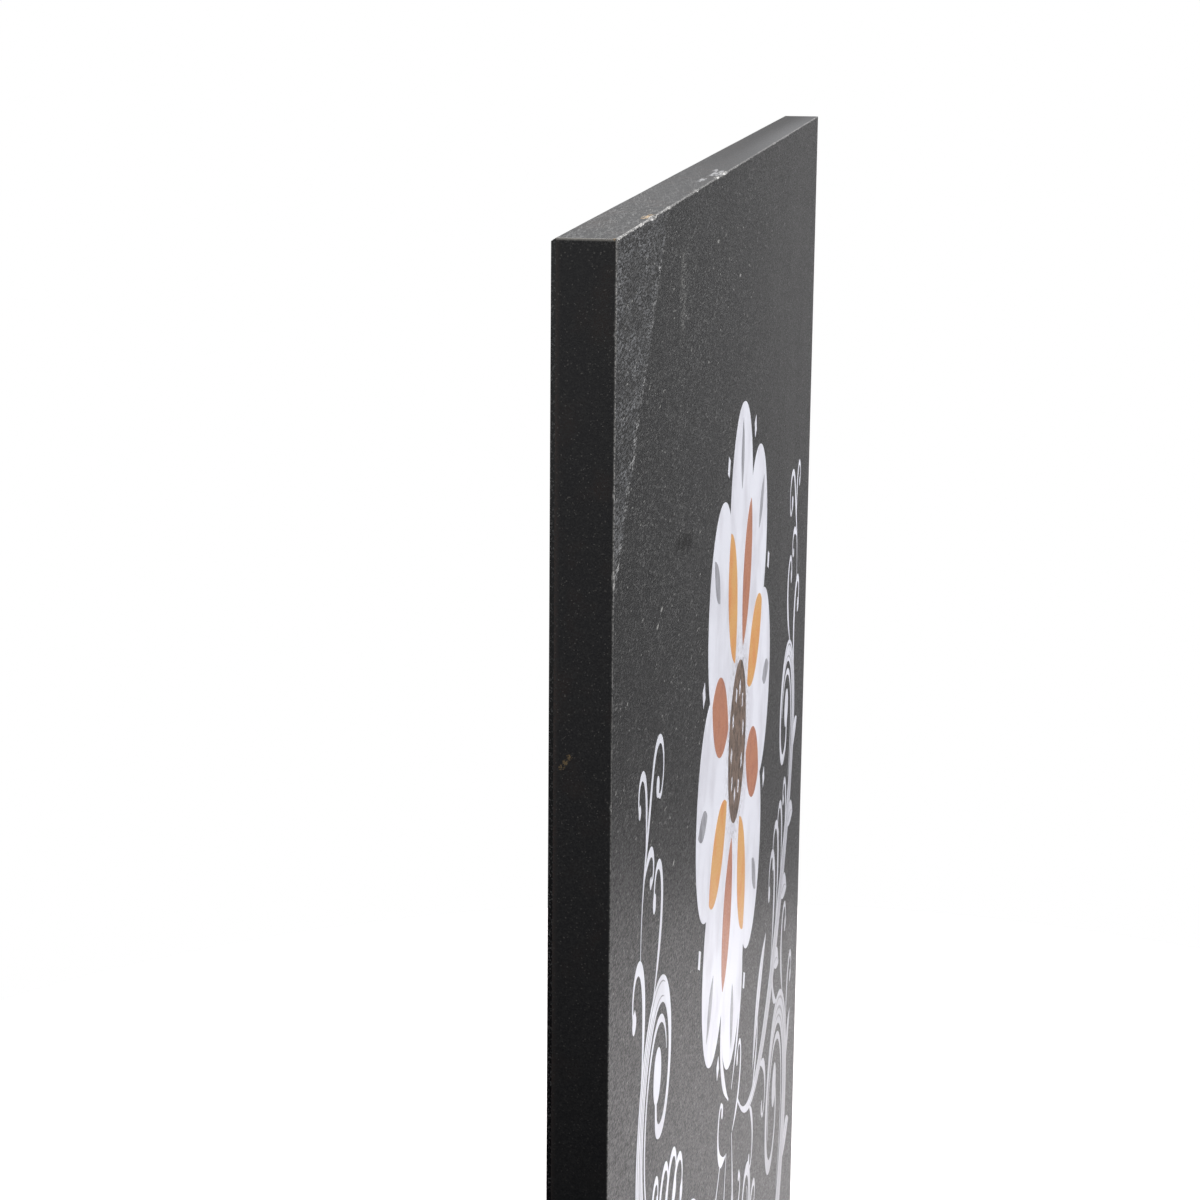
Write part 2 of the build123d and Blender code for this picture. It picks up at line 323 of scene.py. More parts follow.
def hills(u, seed, v=0.0):
    """Smooth random heights from 0 to 1: every corner of a unit grid gets a random height, and the heights
    between are blended with 3t^2 - 2t^3."""
    table = np.random.default_rng(seed).random((HILL_CORNERS, HILL_CORNERS))
    v = v + 0 * u
    column, row = np.floor(u).astype(int), np.floor(v).astype(int)
    s, t = u - column, v - row
    s, t = s * s * (3 - 2 * s), t * t * (3 - 2 * t)

    def corner(i, j):
        return table[(column + i) % HILL_CORNERS, (row + j) % HILL_CORNERS]

    before = corner(0, 0) * (1 - s) + corner(1, 0) * s
    after = corner(0, 1) * (1 - s) + corner(1, 1) * s
    return before * (1 - t) + after * t


print("hills 1 mm wide have a mean height of", round(float(hills(along, 1).mean()), 2))

# %% [markdown]
# The arris has an even part and a broken part. The top's arris was rubbed down until it is wide, and the saw
# left the others sharp. A few larger chips sit where the stone was knocked, and the width of each follows a
# half circle over its length. Small flakes reach less far over the sawn edge than over the front.


# %% widths of the arris
def near(x, z, length):
    """A half circle's height over the outline: 1 at a place on it, down to 0 at half the length away."""
    distance = np.hypot(rim_x - x, rim_z - z) / (length / 2)
    return np.sqrt(np.clip(1 - distance**2, 0, 1))


TOP_ARRIS, SAWN_ARRIS = 0.34, 0.07  # mm, before it is made ragged
OVER_EDGE = 0.65  # the wear's reach over the sawn edge, as a share of its reach over the front
CHIPS = (  # (x, z, length, reach over the front, reach over the edge), in millimetres
    (-181.0, TOP, 11.0, 0.75, 0.6),
    (-196.0, TOP, 4.0, 0.45, 0.25),
    (-157.0, TOP, 5.0, 0.45, 0.3),
    (-54.0, TOP, 10.0, 0.4, 1.0),
    (-70.0, TOP, 6.0, 0.35, 0.6),
    (-110.0, TOP, 4.0, 0.4, 0.35),
    (-HALF, 395.5, 3.6, 0.9, 0.08),
    (-HALF, 440.0, 1.6, 0.25, 0.15),
    (-HALF, 411.0, 1.8, 0.3, 0.15),
    (-HALF, 352.0, 1.4, 0.2, 0.15),
)
worn = np.where(on_top, TOP_ARRIS, SAWN_ARRIS)
flaked = 0.55 + 0.9 * hills(along / 1.3, 1) * hills(along / 9, 2) ** 0.5
ragged = np.where(on_top, flaked, 0.75 + 0.5 * hills(along / 7, 7))  # a fresh saw cut is more even
front_reach = worn * ragged
edge_reach = OVER_EDGE * worn * ragged * (0.8 + 0.4 * hills(along / 2.1, 3))
chipped = np.zeros_like(along)
for x, z, length, over_front, over_edge in CHIPS:
    arc = near(x, z, length)
    bite = arc * (0.65 + 0.7 * hills(along / 0.8, 4))
    front_reach = np.maximum(front_reach, bite * over_front)
    edge_reach = np.maximum(edge_reach, bite * over_edge)
    chipped = np.maximum(chipped, arc)
widths = round(float(front_reach.min()), 2), round(float(front_reach.max()), 2)
print("the arris takes", widths[0], "to", widths[1], "mm of the front")

# %% [markdown]
# The rows of the surface are pairs of an inset from the outline and a depth from the front face. Rows crowd
# together at the arris. A chip is hollow across, like the inside of a spoon, and a worn stretch bulges. Each
# row also carries a mark from 0 to 1 that says how fresh its break is, for the finish to read.

# %% rows of the slab
BACK_BEVEL = (0.7, 1.0)  # factory bevel round the polished back: across the back, and across the edge
FRONT_ROWS = (3.0, 1.6, 0.8, 0.35, 0.12)  # distances inside the arris
ARRIS_ROWS = 6
EDGE_SHARES = (0.04, 0.10, 0.18, 0.28, 0.40, 0.52, 0.64, 0.76, 0.88, 1.0)  # from the arris to the back bevel
BEVEL_SHARES = (0.5, 1.0)
BULGE, SCOOP = 0.18, 0.32  # a worn stretch's bulge, and what a chip takes off it, as shares of the width
CRUMBS = 0.25  # height of the grit, as a share of the width
SAW_DRIFT = 0.05  # mm, how far the saw wandered
top_freshness = np.interp(rim_x, (-190, -150, -50, 60), (0.60, 0.40, 0.38, 0.36))
freshness = np.where(on_top, top_freshness, np.interp(rim_z, (375, 400), (0.45, 0.7)))
rows = []


def add_row(inset, depth, mark=0.0):
    """One row, all the way round. A number that is the same all the way is spread over its points."""
    rows.append([value + 0 * along for value in (inset, depth, mark)])


for gap in FRONT_ROWS:
    add_row(front_reach + gap, 0.0)
for share in np.linspace(0, 1, ARRIS_ROWS):
    arch = np.sin(np.pi * share)
    hollow = (SCOOP * chipped - BULGE) * arch * np.minimum(front_reach, edge_reach)
    crumbs = CRUMBS * arch * front_reach * (hills(along / 0.5, 5, share * 7) - 0.3)
    inset = np.maximum(front_reach * (1 - share) + hollow + crumbs, 0)
    add_row(inset, np.maximum(edge_reach * share + hollow + crumbs, 0), np.maximum(freshness, chipped))
for share in EDGE_SHARES:
    depth = edge_reach + (THICK - BACK_BEVEL[1] - edge_reach) * share
    add_row(SAW_DRIFT * hills(along / 35, 6, depth / 9), depth)
for share in BEVEL_SHARES:
    add_row(BACK_BEVEL[0] * share, THICK - BACK_BEVEL[1] * (1 - share))
insets, depths, marks = np.array(rows).transpose(1, 0, 2)


def slab_points(inset, depth, x, z):
    """A point of the outline is pulled towards the middle by the inset, and put back by the depth."""
    depth = depth + 0 * inset
    return np.stack([x * (HALF - inset) * MM, low.y + depth * MM, (HALF + z * (HALF - inset)) * MM], axis=-1)


body = slab_points(insets, depths, walk[:, 0], walk[:, 1])
print("rows:", len(rows), "from the front face to the back face")

# %% [markdown]
# The two large faces are flat, so they need few points. A fan from one middle point would make thousands of
# slivers. Instead each ring of points has half as many as the ring outside it, and a small fan closes it.

# %% the flat middle of a face
CAP_INSETS = (8.0, 16.0, 32.0, 60.0, 100.0, 150.0)  # of its rings


def flat_middle(rim_start, first_new, depth):
    """Rings with 1/2, 1/4, ... of the outline's points. Two steps of a ring and one step of the next are
    joined by three triangles. The last ring is joined to the middle point."""
    points, faces, outer = [], [], rim_start + np.arange(len(walk))
    for level, inset in enumerate(CAP_INSETS, 1):
        ring = walk[:: 2**level]
        points.append(slab_points(np.full(len(ring), inset), depth, ring[:, 0], ring[:, 1]))
        inner = first_new + np.arange(len(ring))
        first_new += len(ring)
        start, mid, end = outer[0::2], outer[1::2], np.roll(outer, -2)[0::2]
        after = np.roll(inner, -1)
        faces += [np.stack(t, -1) for t in ((start, inner, mid), (mid, inner, after), (mid, after, end))]
        outer = inner
    points.append(slab_points(np.array([HALF]), depth, np.zeros(1), np.zeros(1)))
    faces.append(np.stack([outer, np.full(len(outer), first_new), np.roll(outer, -1)], -1))
    return np.concatenate(points), np.concatenate(faces)


count = len(walk)
front_points, front_faces = flat_middle(0, len(rows) * count, 0.0)
back_start = len(rows) * count + len(front_points)
back_points, back_faces = flat_middle((len(rows) - 1) * count, back_start, THICK)
quads = grid_faces(len(rows), count, wrap=True)[:, ::-1]
first_arris = len(FRONT_ROWS) * count
first_bevel = (len(FRONT_ROWS) + ARRIS_ROWS + len(EDGE_SHARES) - 1) * count
slab_bands = [quads[:first_arris], quads[first_arris:first_bevel], quads[first_bevel:]]
slab_point_list = np.concatenate([body.reshape(-1, 3), front_points, back_points])
print("the flat middles have", len(front_faces) + len(back_faces), "triangles")

# %% [markdown]
# ## Granite
# The stone is a fine-grained black granite: dark crystals with paler ones between them, each a few tenths of
# a millimetre wide. The honed front, the sawn edges and the polished back are the same stone, so the same
# helpers mottle them all, and each finish has a roughness and a depth of grain of its own. The textures are
# solid, as stone is: they read object coordinates, so the grain runs on round every corner.


# %% texture helpers
def texture(tree, kind, grain, stretch=(1, 1, 1), turn=0.0, **inputs):
    """A 3D texture in object coordinates whose cells are one grain wide, in millimetres. Stretch multiplies
    a cell's length along X, Y and Z, after a turn about Z in degrees."""
    place = put(tree, "ShaderNodeTexCoord").outputs["Object"]
    if turn:
        turning = {"Vector": place, "Rotation": (0, 0, math.radians(turn))}
        place = put(tree, "ShaderNodeMapping", turning).outputs[0]
    scale = [1 / (grain * MM * s) for s in stretch]
    where = put(tree, "ShaderNodeMapping", {"Vector": place, "Scale": scale}).outputs[0]
    return put(tree, kind, {"Vector": where, "Scale": 1.0, **inputs}).outputs


def noise(tree, grain, stretch=(1, 1, 1), turn=0.0, detail=2.0):
    """Smooth random values round 0.5, with finer waves added for each step of detail."""
    return texture(tree, "ShaderNodeTexNoise", grain, stretch, turn, Detail=detail)["Fac"]


def crystals(tree, grain, stretch=(1, 1, 1)):
    """Closely packed cells, one grain wide, each with a random brightness from 0 to 1."""
    colour = texture(tree, "ShaderNodeTexVoronoi", grain, stretch)["Color"]
    return put(tree, "ShaderNodeSeparateColor", {"Color": colour}).outputs["Red"]


print("texture helpers:", ", ".join(helper.__name__ for helper in (texture, noise, crystals)))

# %% [markdown]
# Wear sits in places, such as a scuff, and so does painted shade, such as a darker foot. A spot is an
# ellipsoid that fades from its centre to its rim. Painted masks could say where the wear sits too, but they
# would need an image, and a spot follows the stone's own millimetres.


# %% spot and grain helpers
def arithmetic(tree, operation, *values):
    """The result of a Math node's operation on up to three values."""
    return put(tree, "ShaderNodeMath", dict(enumerate(values)), operation=operation).outputs[0]


def spots(tree, *places):
    """1 at each spot's centre, down to 0 at its rim. A place is (x, y, z, three radii), in millimetres."""
    place = put(tree, "ShaderNodeTexCoord").outputs["Object"]
    total = 0.0
    for *centre, radii in places:
        scale = [1 / (r * MM) for r in radii]
        shift = [-c / r for c, r in zip(centre, radii)]
        fit = {"Vector": place, "Scale": scale, "Location": shift}
        where = put(tree, "ShaderNodeMapping", fit).outputs[0]
        away = put(tree, "ShaderNodeVectorMath", {0: where}, operation="LENGTH").outputs["Value"]
        total = arithmetic(tree, "MAXIMUM", total, ease(tree, away, 0.0, 1.0, 1.0, 0.0))
    return total


def bump(tree, shader, height, depth):
    """Bends the shader's normal by a height from 0 to 1 that stands for a depth in millimetres."""
    made = put(tree, "ShaderNodeBump", {"Height": height, "Distance": depth * MM, "Strength": 1.0})
    tree.links.new(made.outputs[0], shader.inputs["Normal"])


DARK = (0.0055, 0.0055, 0.0065)
CRYSTAL = 0.30  # mm


def mottled(tree, pale, stretch=(1, 1, 1)):
    """Black stone's colour: dark, with paler crystals, and gathered in faint clouds."""
    bright = ease(tree, crystals(tree, CRYSTAL, stretch), 0.68, 1.0)
    clouds = ease(tree, noise(tree, 14.0, detail=3.0), 0.3, 0.7, 0.5, 1.0)
    return blend(tree, arithmetic(tree, "MULTIPLY", bright, clouds), DARK, pale)


print("crystals are", CRYSTAL, "mm wide")

# %% [markdown]
# The front is honed with a wide wheel that runs along X, so its grain is drawn out along X. The face is half
# matt: it mirrors only softly, and a film of dust brightens it where it is seen at a grazing angle. A second,
# white shader over the stone could stand for the film, but the shader's sheen does the same in one number.

# %% honed front
HONING = (4, 1, 1)  # the wheel draws each pit out along X
PIT = 0.28  # mm
PALE_CRYSTAL, DUST_AND_SHEEN_GREY = (0.10, 0.10, 0.10), (0.045, 0.044, 0.046)
DUST_AND_SHEEN_SPOT = (HALF, FRONT, HALF, (330.0, 50.0, 430.0))  # dust lies thicker towards this side, and a painted sheen brightens it there
honed, tree, shader = new_material("honed_granite", IOR=1.19, Sheen_Weight=0.102, Sheen_Roughness=0.2)
pits = ease(tree, noise(tree, PIT, HONING, detail=3.0), 0.38, 0.62)
matt = arithmetic(tree, "MULTIPLY_ADD", pits, 0.20, 0.335)
streaks = ease(tree, noise(tree, 16.0, (1, 1, 5)), 0.3, 0.7, 0.15, 0.6)
# Paler towards +X: partly dust, partly painted sheen that stands in for the brighter grazing reflection there.
dust_and_sheen = arithmetic(tree, "MULTIPLY", spots(tree, DUST_AND_SHEEN_SPOT), streaks)
colour = blend(tree, dust_and_sheen, mottled(tree, PALE_CRYSTAL, HONING), DUST_AND_SHEEN_GREY)
print("pits are", PIT * HONING[0], "mm long and", PIT, "mm high")

# %% [markdown]
# The saw bruised the near top corner: coarse broken grain shows in a slanting patch there, with a ragged
# pale ridge along its border. The patch lies beyond a line between two points of the arris, so the shader
# measures each place's distance from that line and adds noise to it.

# %% bruised corner
BRUISE_FOOT, BRUISE_HEAD = (-224.7, 394.0), (-156.8, 457.0)  # (x, z) where its border meets the two arrises
WANDER = 3.2  # mm, width of the band that its border strays in
RIDGE_WIDTH = 4.5  # mm
BROKEN_GRAIN, RIDGE = (0.17, 0.175, 0.185), (0.46, 0.46, 0.46)
slope = math.atan2(BRUISE_HEAD[1] - BRUISE_FOOT[1], BRUISE_HEAD[0] - BRUISE_FOOT[0])
offset = (BRUISE_FOOT[0] * math.sin(slope) - BRUISE_FOOT[1] * math.cos(slope)) * MM
here = put(tree, "ShaderNodeTexCoord").outputs["Object"]
axes = put(tree, "ShaderNodeSeparateXYZ", {"Vector": here}).outputs
beyond = arithmetic(tree, "MULTIPLY_ADD", axes["Z"], math.cos(slope), offset)
beyond = arithmetic(tree, "MULTIPLY_ADD", axes["X"], -math.sin(slope), beyond)
wander = arithmetic(tree, "SUBTRACT", noise(tree, 1.6, (3, 1, 1), detail=4.0), 0.5)
beyond = arithmetic(tree, "MULTIPLY_ADD", wander, WANDER * MM, beyond)
bruised = ease(tree, beyond, -0.6 * MM, 1.0 * MM)
ridge = arithmetic(tree, "MULTIPLY", bruised, ease(tree, beyond, 1.0 * MM, RIDGE_WIDTH * MM, 1.0, 0.0))
ridge = arithmetic(tree, "MULTIPLY", ridge, ease(tree, noise(tree, 2.5, HONING), 0.42, 0.62))
grit = ease(tree, crystals(tree, CRYSTAL, (5, 1, 1)), 0.45, 1.0)
patchy = ease(tree, noise(tree, 6.0, HONING), 0.35, 0.65, 0.3, 1.0)
flecks = arithmetic(tree, "MULTIPLY", arithmetic(tree, "MULTIPLY", bruised, grit), patchy)
colour = blend(tree, flecks, colour, BROKEN_GRAIN)
colour = blend(tree, arithmetic(tree, "MULTIPLY", ridge, grit), colour, RIDGE)
print("bruised corner slopes at", round(math.degrees(slope)), "degrees")

# %% [markdown]
# A few pale specks lie scattered over the bare stone, a faint scuff runs beside the bruise, and a finger
# left a dark smear beside the print, with a darker core. The smear is a row of three spots that slants down.

# %% specks, scuff and smear
SPECK = (2.8, 1.0, 0.7)  # radii, in mm
SPECKS = ((-66.9, 441.9), (-15.5, 428.7), (-160.5, 374.5), (-166.5, 372.2), (-134.0, 311.0))  # (x, z)
SCUFF = (-132.0, FRONT, 437.0, (9.0, 1.0, 17.0))
SMEARS = [(x, FRONT, z, (9.0, 2.0, 3.2)) for x, z in ((-134.0, 383.4), (-124.5, 381.5), (-115.0, 379.6))]
SMEAR_CORE = (-123.0, FRONT, 381.2, (9.0, 2.0, 2.2))
CHALKY, BLACK = (0.26, 0.26, 0.25), (0.0, 0.0, 0.0)
named = ease(tree, spots(tree, *((x, FRONT, z, SPECK) for x, z in SPECKS)), 0.1, 0.6)
strewn = ease(tree, noise(tree, 0.8, HONING, detail=1.0), 0.73, 0.79)
scuffed = arithmetic(tree, "MULTIPLY", ease(tree, spots(tree, SCUFF), 0.0, 0.8, 0.0, 0.5), grit)
pale = arithmetic(tree, "MAXIMUM", named, arithmetic(tree, "MAXIMUM", strewn, scuffed))
colour = blend(tree, pale, colour, CHALKY)
smear = arithmetic(tree, "MULTIPLY", spots(tree, *SMEARS), 0.75)
smear = arithmetic(tree, "MULTIPLY_ADD", spots(tree, SMEAR_CORE), 0.6, smear)
colour = blend(tree, smear, colour, BLACK)
tree.links.new(colour, shader.inputs["Base Color"])
tree.links.new(arithmetic(tree, "MULTIPLY_ADD", smear, 1.0, matt), shader.inputs["Roughness"])
bump(tree, shader, arithmetic(tree, "MULTIPLY_ADD", flecks, 1.5, pits), 0.02)
print(len(SPECKS), "named specks")

# %% [markdown]
# The edges are sawn. The blade and its chatter leave two sets of fine lines that cross at a small angle, so
# two drawn-out noises are turned against each other. Iron in the stone warms it here and there, and water
# crept in along the back bevel and left a warm stripe.

# %% sawn edges
CHATTER = 8.0  # degrees between a line and the edge, to either side
SAW_LINE = (18, 1, 1)  # each line is drawn out along X
RUSTY = (-HALF, THICK + FRONT, HALF + 120, (3.0, 2.2, 400.0))
COOL_STONE, WARM_STONE, RUST = (0.006, 0.006, 0.0085), (0.016, 0.010, 0.010), (0.085, 0.058, 0.050)
SAWN_CRYSTAL, GLINT = (0.020, 0.020, 0.021), (0.10, 0.095, 0.09)
sawn, tree, shader = new_material("sawn_granite")
crossing = [noise(tree, 0.35, SAW_LINE, turn=turn) for turn in (CHATTER, -CHATTER)]
saw = ease(tree, arithmetic(tree, "MAXIMUM", *crossing), 0.5, 0.7)
grain = crystals(tree, CRYSTAL, (2, 1, 1))
warm = ease(tree, noise(tree, 7.0), 0.5, 0.75)
stone = blend(tree, warm, COOL_STONE, WARM_STONE)
stone = blend(tree, spots(tree, RUSTY), stone, RUST)
colour = blend(tree, ease(tree, grain, 0.3, 1.0), stone, SAWN_CRYSTAL)
glints = ease(tree, crystals(tree, 0.2, (2, 1, 1)), 0.965, 1.0)
colour = blend(tree, glints, colour, GLINT)
print("saw lines cross at", 2 * CHATTER, "degrees")

# %% [markdown]
# Use and painted light show in broad places on the edges. The crossing lines hold dust towards the near corner,
# and a painted highlight lays a pale band along the front of the top's far end. Painted shade darkens the near
# edge towards its foot, where it is also glossier, and handling rubbed that edge's upper rim pale.

# %% dust, painted highlight and painted shade
DUSTY_END = (-HALF, 0.0, TOP, (300.0, 40.0, 2.0))
TOP_HIGHLIGHT = (130.0, FRONT, TOP, (230.0, 8.5, 2.0))
SHADED_FOOT = [(-HALF, 0.0, z, (3.0, 40.0, 170.0)) for z in (90.0, 230.0)]
SHADED_FOOT_DEPTH = 0.85  # 1 would hide the stone's own colour
RIM = (-HALF, 0.0, TOP, (0.6, 30.0, 0.6))
DUST, HIGHLIGHT_GREY, SHADE_BLACK, HANDLED = (0.15, 0.15, 0.15), (0.07, 0.07, 0.074), (0.001, 0.001, 0.002), (0.45, 0.43, 0.40)
dusty_end = spots(tree, DUSTY_END)
dusty = arithmetic(tree, "MULTIPLY", dusty_end, arithmetic(tree, "MULTIPLY", saw, grain))
colour = blend(tree, dusty, colour, DUST)
# painted highlight: a paler band along the front of the top's far half
colour = blend(tree, spots(tree, TOP_HIGHLIGHT), colour, HIGHLIGHT_GREY)
# painted shade: the near edge gets darker towards its foot; the same spots also lower its roughness there
shaded_foot = arithmetic(tree, "MULTIPLY", spots(tree, *SHADED_FOOT), SHADED_FOOT_DEPTH)
colour = blend(tree, shaded_foot, colour, SHADE_BLACK)
colour = blend(tree, spots(tree, RIM), colour, HANDLED)
matt = arithmetic(tree, "MULTIPLY_ADD", dusty_end, 0.25, 0.38)
matt = arithmetic(tree, "MULTIPLY_ADD", shaded_foot, -0.12, matt)
print("damp climbs to", max(z + radii[2] for *_, z, radii in SHADED_FOOT), "mm")

# %% [markdown]
# Small marks need ragged borders. A noise that is added to a spot would move its border in and out but leave
# bits of it everywhere, so the spot's height is multiplied by the noise and then cut off at a level.


# %% marks on the edges
def ragged_marks(tree, grain, *places):
    """Spots with ragged borders: each spot's height times a noise, cut off at a level."""
    rough = ease(tree, noise(tree, grain, (5, 1, 1), detail=4.0), 0.38, 0.62)
    return ease(tree, arithmetic(tree, "MULTIPLY", spots(tree, *places), rough), 0.12, 0.50)


DUSTED = (
    (-56.0, FRONT + 1.6, TOP, (17.0, 2.6, 1.0)),
    (-79.0, FRONT + 2.8, TOP, (10.0, 1.5, 1.0)),
    (-47.0, FRONT + 3.2, TOP, (8.0, 1.3, 1.0)),
)
TANNED = ((-181.0, FRONT + 0.8, TOP, (9.0, 2.2, 1.0)), (-HALF, FRONT, TOP, (3.0, 1.2, 1.2)))
SCRATCH = [(-HALF, y, z, (1.0, 1.0, 0.9)) for y, z in ((3.4, 359.4), (2.7, 360.4), (2.0, 361.4))]
MARKS = (  # (places, grain, colour)
    (DUSTED, 1.0, (0.24, 0.24, 0.25)),
    (TANNED, 0.7, (0.36, 0.26, 0.15)),
    (SCRATCH, 0.3, (0.17, 0.12, 0.06)),
)
for places, size, tint in MARKS:
    colour = blend(tree, ragged_marks(tree, size, *places), colour, tint)
print(len(DUSTED), "dusty marks,", len(TANNED), "tanned ones and a scratch")

# %% [markdown]
# On the broken arris the stone is fresh, so it shows bright crystals. A mask in space would miss the flakes'
# own outlines, so the mesh says where: its attribute "broken" is 0 on the flat finishes and up to 1 on chips.

# %% fresh stone on the arris
FRESH_DARK, FRESH_PALE = (0.12, 0.12, 0.12), (0.50, 0.49, 0.48)
broken = put(tree, "ShaderNodeAttribute", attribute_name="broken").outputs["Fac"]
bright = ease(tree, crystals(tree, CRYSTAL, (3, 1, 1)), 0.0, 1.0)
fresh = blend(tree, bright, FRESH_DARK, FRESH_PALE)
tree.links.new(blend(tree, ease(tree, broken, 0.1, 0.7), colour, fresh), shader.inputs["Base Color"])
tree.links.new(arithmetic(tree, "MULTIPLY_ADD", grain, 0.08, matt), shader.inputs["Roughness"])
bump(tree, shader, arithmetic(tree, "ADD", grain, saw), 0.008)
print("share of the outline with a chip:", round(float((chipped > 0).mean()), 3))

# %% [markdown]
# The back keeps the tile maker's polish. It is hidden in this view, but a part in a library is seen from all
# sides, so it gets the same crystals under a glossier skin.

# %% polished back
POLISH = (0.08, 0.16)  # roughness, least and greatest
polished, tree, shader = new_material("polished_granite")
tree.links.new(mottled(tree, PALE_CRYSTAL), shader.inputs["Base Color"])
tree.links.new(ease(tree, noise(tree, 3.0), 0.3, 0.7, *POLISH), shader.inputs["Roughness"])
bump(tree, shader, noise(tree, 25.0), 0.02)
print("polish:", POLISH)

# %% [markdown]
# The slab's rows and its two flat middles now become one closed mesh with three finishes. It rides on the
# frame's only body and stands for the frame's plain stone, which stays for collisions but is hidden.

# %% the slab
groups = zip([*slab_bands, front_faces, back_faces[:, ::-1]], (honed, sawn, polished, honed, polished))
slab = make_piece("slab", slab_point_list, list(groups))
rest = np.zeros(len(slab_point_list) - marks.size)
slab.data.attributes.new("broken", "FLOAT", "POINT").data.foreach_set("value", np.append(marks, rest))
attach(slab, "root")
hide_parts("granite_slab")
print("marked as broken:", int((marks > 0).sum()), "points")

# %% [markdown]
# ## Inks
# The print is cured ink a few hundredths of a millimetre thick. The frame's films have the right shapes, so
# they stay and get their inks. A film follows the stone's pits, so ink is satin rather than glossy.

# %% inks
INKS = {  # slot: (colour, colour where the film is thin, size of the thin places in mm)
    "white_ink": ((0.80, 0.81, 0.89), (0.66, 0.66, 0.73), 18.0),
    "grey_ink": ((0.36, 0.36, 0.40), (0.22, 0.22, 0.25), 5.0),
    "amber_ink": ((0.68, 0.37, 0.13), (0.66, 0.27, 0.09), 9.0),
    "orange_ink": ((0.47, 0.20, 0.12), (0.38, 0.15, 0.10), 5.0),
    "brown_ink": ((0.20, 0.14, 0.11), (0.03, 0.024, 0.02), 2.6),
}
PRINT_SHADE = (160.0, FRONT, 120.0, (230.0, 6.0, 220.0))  # painted shade: the print is darker here, towards its lower right
PRINT_SHADE_LEFT = 0.36  # share of the ink's brightness that is left there
SHADED = (0.0, FRONT, 302.0, (44.0, 5.0, 44.0))  # grey stipple round the rosette's seed head
STIPPLE = (0.24, 0.21, 0.21)
inks = {}
for slot, (full, thin, grain) in INKS.items():
    inks[slot], tree, shader = new_material(slot)
    thinness = ease(tree, noise(tree, grain, detail=3.0), 0.40, 0.75)
    colour = blend(tree, thinness, full, thin)
    # painted shade darkens every ink towards the print's lower right
    print_shade = arithmetic(tree, "MULTIPLY", spots(tree, PRINT_SHADE), 0.9)
    colour = blend(tree, print_shade, colour, tuple(PRINT_SHADE_LEFT * c for c in full))
    if slot == "white_ink":
        stipple = ease(tree, crystals(tree, 0.9), 0.55, 0.95)
        shade = arithmetic(tree, "MULTIPLY", ease(tree, spots(tree, SHADED), 0.0, 0.8), stipple)
        colour = blend(tree, shade, colour, STIPPLE)
    tree.links.new(colour, shader.inputs["Base Color"])
    tree.links.new(ease(tree, noise(tree, 0.6), 0.3, 0.7, 0.34, 0.5), shader.inputs["Roughness"])
    bump(tree, shader, noise(tree, 0.5), 0.01)
    films = [node for name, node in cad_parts.items() if slot.startswith(name.split("_")[0])]
    for film in films:
        for holder in film.material_slots:
            holder.material = inks[slot]
    print(slot, "covers", len(films), "films")

# %% [markdown]
# ## Line work of the print
# Thin curls branch from the white scrolls, and fine grey pen lines run along them and through the leaves.
# The frame carries the broad forms. These thin ones are ribbons of ink: a flat section carried along a path
# in the printed face. Two helpers walk along any such path: one makes its steps even, and one looks left.


# %% path helpers
def even_steps(path, count):
    """The same path with its points at equal distances: its two coordinates against the distance walked."""
    walked = np.append(0, np.cumsum(np.linalg.norm(np.diff(path, axis=0), axis=1)))
    at = np.linspace(0, walked[-1], count)
    return np.stack([np.interp(at, walked, path[:, i]) for i in (0, 1)], axis=1)


def left_of(path):
    """Unit vectors square to a path: its direction, turned to the left by a quarter turn."""
    way = np.gradient(path, axis=0)
    return np.stack([-way[:, 1], way[:, 0]], axis=1) / np.linalg.norm(way, axis=1)[:, None]


def bearing(degrees):
    """The unit vector at an angle in the printed face, from X towards Z."""
    return np.array([math.cos(math.radians(degrees)), math.sin(math.radians(degrees))])


print("a bearing of 90 degrees is", bearing(90).round(3))

# %% [markdown]
# The curls must grow out of the scrolls, so the scrolls' own centre lines come first, from the numbers that
# they were drawn with, in millimetres from the middle of the lower edge. Each is a cubic curve that runs into
# a logarithmic spiral, which is how a pen draws a scroll: it never stops turning, and tighter all the time.

# %% scrolls
SPIRAL_POINTS = 4000  # enough to find even steps along it
SCROLL_STEPS = 400


def scroll_path(root, heading, eye, radius, eye_radius, turns, entry):
    """A cubic curve from the root in its heading, then a logarithmic spiral: its radius shrinks by the same
    share in every turn, from radius to eye_radius, as it winds about the eye. The cubic's two handles are 0.4
    of the distance between its ends, and the second lies along the spiral's own first direction."""
    share = np.linspace(0, 1, SPIRAL_POINTS)[:, None]
    angle = math.radians(entry) + 2 * np.pi * turns * share
    out = np.hstack([np.cos(angle), np.sin(angle)])
    coil = eye + radius * (eye_radius / radius) ** share * out
    growth = math.log(eye_radius / radius) / (2 * np.pi * turns)
    joining = growth * out[0] + [-out[0, 1], out[0, 0]]
    reach = 0.4 * np.linalg.norm(coil[0] - root)
    near_joint = coil[0] - reach * joining / np.linalg.norm(joining)
    controls = np.array([root, root + reach * bearing(heading), near_joint, coil[0]])
    rest = 1 - share[:-1]
    weights = np.hstack([rest**3, 3 * rest**2 * (1 - rest), 3 * rest * (1 - rest) ** 2, (1 - rest) ** 3])
    return even_steps(np.vstack([weights @ controls, coil]), SCROLL_STEPS + 1)


def swelling(share, root, greatest, tip, widest_at=0.42):
    """A pen's width: it eases by 3t^2 - 2t^3 from the root's up to the greatest, and down to the tip's."""
    rise = np.where(share < widest_at, share / widest_at, (1 - share) / (1 - widest_at))
    thin = np.where(share < widest_at, root, tip)
    return thin + (greatest - thin) * rise * rise * (3 - 2 * rise)


